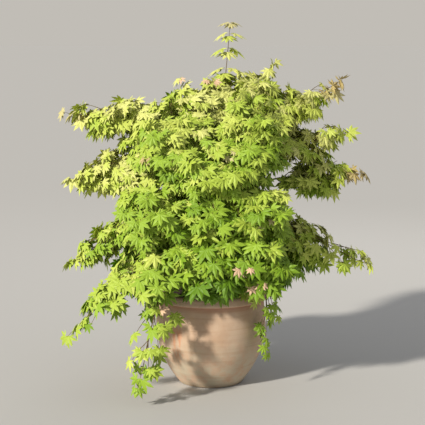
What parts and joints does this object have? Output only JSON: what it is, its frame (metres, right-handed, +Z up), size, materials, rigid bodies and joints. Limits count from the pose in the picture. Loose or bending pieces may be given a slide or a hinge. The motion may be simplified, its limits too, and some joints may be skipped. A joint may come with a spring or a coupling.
{
  "type": "potted japanese maple",
  "caption": "Small many-branched maple shrub with lobed yellow-green leaves in weeping tiers, growing from soil in a bellied terracotta pot with a rolled rim.",
  "frame": {"origin": "Centre of the pot's flat underside, on the ground that it stands on.", "axes": "+Z up along the pot's axis, -Y towards the viewer of the picture (the front), +X to the viewer's right."},
  "size_m": [1.2549, 0.9448, 1.4375],
  "materials": {
    "terracotta": "matte",
    "compost": "matte",
    "bark": "matte",
    "leaves_bright": "satin",
    "leaves_middle": "satin",
    "leaves_deep": "satin"
  },
  "bodies": {
    "root": {"pot": "terracotta", "soil": "compost", "trunk": "bark", "bough_leader": "bark", "bough_right_upper": "bark", "bough_left_upper": "bark", "bough_front_centre": "bark", "bough_back_centre": "bark", "bough_right_low": "bark", "bough_left_low": "bark", "bough_front_low_left": "bark", "bough_front_low": "bark", "bough_back_low_left": "bark", "bough_back_low_right": "bark", "bough_top_left": "bark", "bough_top_right": "bark", "bough_top_back": "bark", "bough_front_upper_left": "bark", "bough_front_upper_right": "bark", "bough_back_upper_left": "bark", "bough_back_upper_right": "bark", "bough_right_mid": "bark", "bough_right_tip": "bark", "bough_left_mid": "bark", "bough_front_mid_left": "bark", "bough_front_mid_right": "bark", "bough_low_left": "bark", "bough_pot_left": "bark", "bough_front_low_right": "bark", "bough_pot_right": "bark", "leaves_leader": "leaves_bright", "leaves_right_upper": "leaves_bright", "leaves_left_upper": "leaves_bright", "leaves_front_centre": "leaves_middle", "leaves_back_centre": "leaves_middle", "leaves_right_low": "leaves_middle", "leaves_left_low": "leaves_middle", "leaves_front_low_left": "leaves_middle", "leaves_front_low": "leaves_deep", "leaves_back_low_left": "leaves_deep", "leaves_back_low_right": "leaves_deep", "leaves_top_left": "leaves_bright", "leaves_top_right": "leaves_bright", "leaves_top_back": "leaves_bright", "leaves_front_upper_left": "leaves_bright", "leaves_front_upper_right": "leaves_bright", "leaves_back_upper_left": "leaves_middle", "leaves_back_upper_right": "leaves_middle", "leaves_right_mid": "leaves_bright", "leaves_right_tip": "leaves_middle", "leaves_left_mid": "leaves_bright", "leaves_front_mid_left": "leaves_middle", "leaves_front_mid_right": "leaves_middle", "leaves_low_left": "leaves_bright", "leaves_pot_left": "leaves_middle", "leaves_front_low_right": "leaves_deep", "leaves_pot_right": "leaves_middle"}
  },
  "joints": []
}
